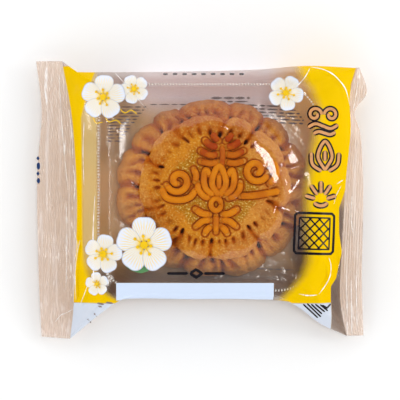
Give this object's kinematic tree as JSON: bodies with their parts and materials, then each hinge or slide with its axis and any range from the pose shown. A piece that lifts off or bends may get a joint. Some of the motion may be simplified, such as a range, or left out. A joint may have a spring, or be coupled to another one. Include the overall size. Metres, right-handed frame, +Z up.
{
  "type": "wrapped mooncake",
  "caption": "Oval baked mooncake with scalloped edge and raised ornament, in a clear tray sealed in a clear printed flow-wrap packet with crimped end fins.",
  "frame": {"origin": "middle of the packet's outline, on the flat face that it rests on", "axes": "+X along the packet from the left fin to the right fin, +Y towards its far long edge, +Z up out of its printed face"},
  "size_m": [0.1456, 0.1222, 0.035],
  "materials": {
    "printed_film": "glossy clear film, partly printed in opaque yellow and white",
    "clear_film": "glossy clear film with a light warm tint",
    "clear_tray": "thin clear thermoformed plastic",
    "baked_crust": "fine-grained baked pastry, matte",
    "egg_glaze": "browned egg glaze on the raised ornament, satin"
  },
  "bodies": {
    "root": {"mooncake_packet": "printed_film"}
  },
  "joints": []
}
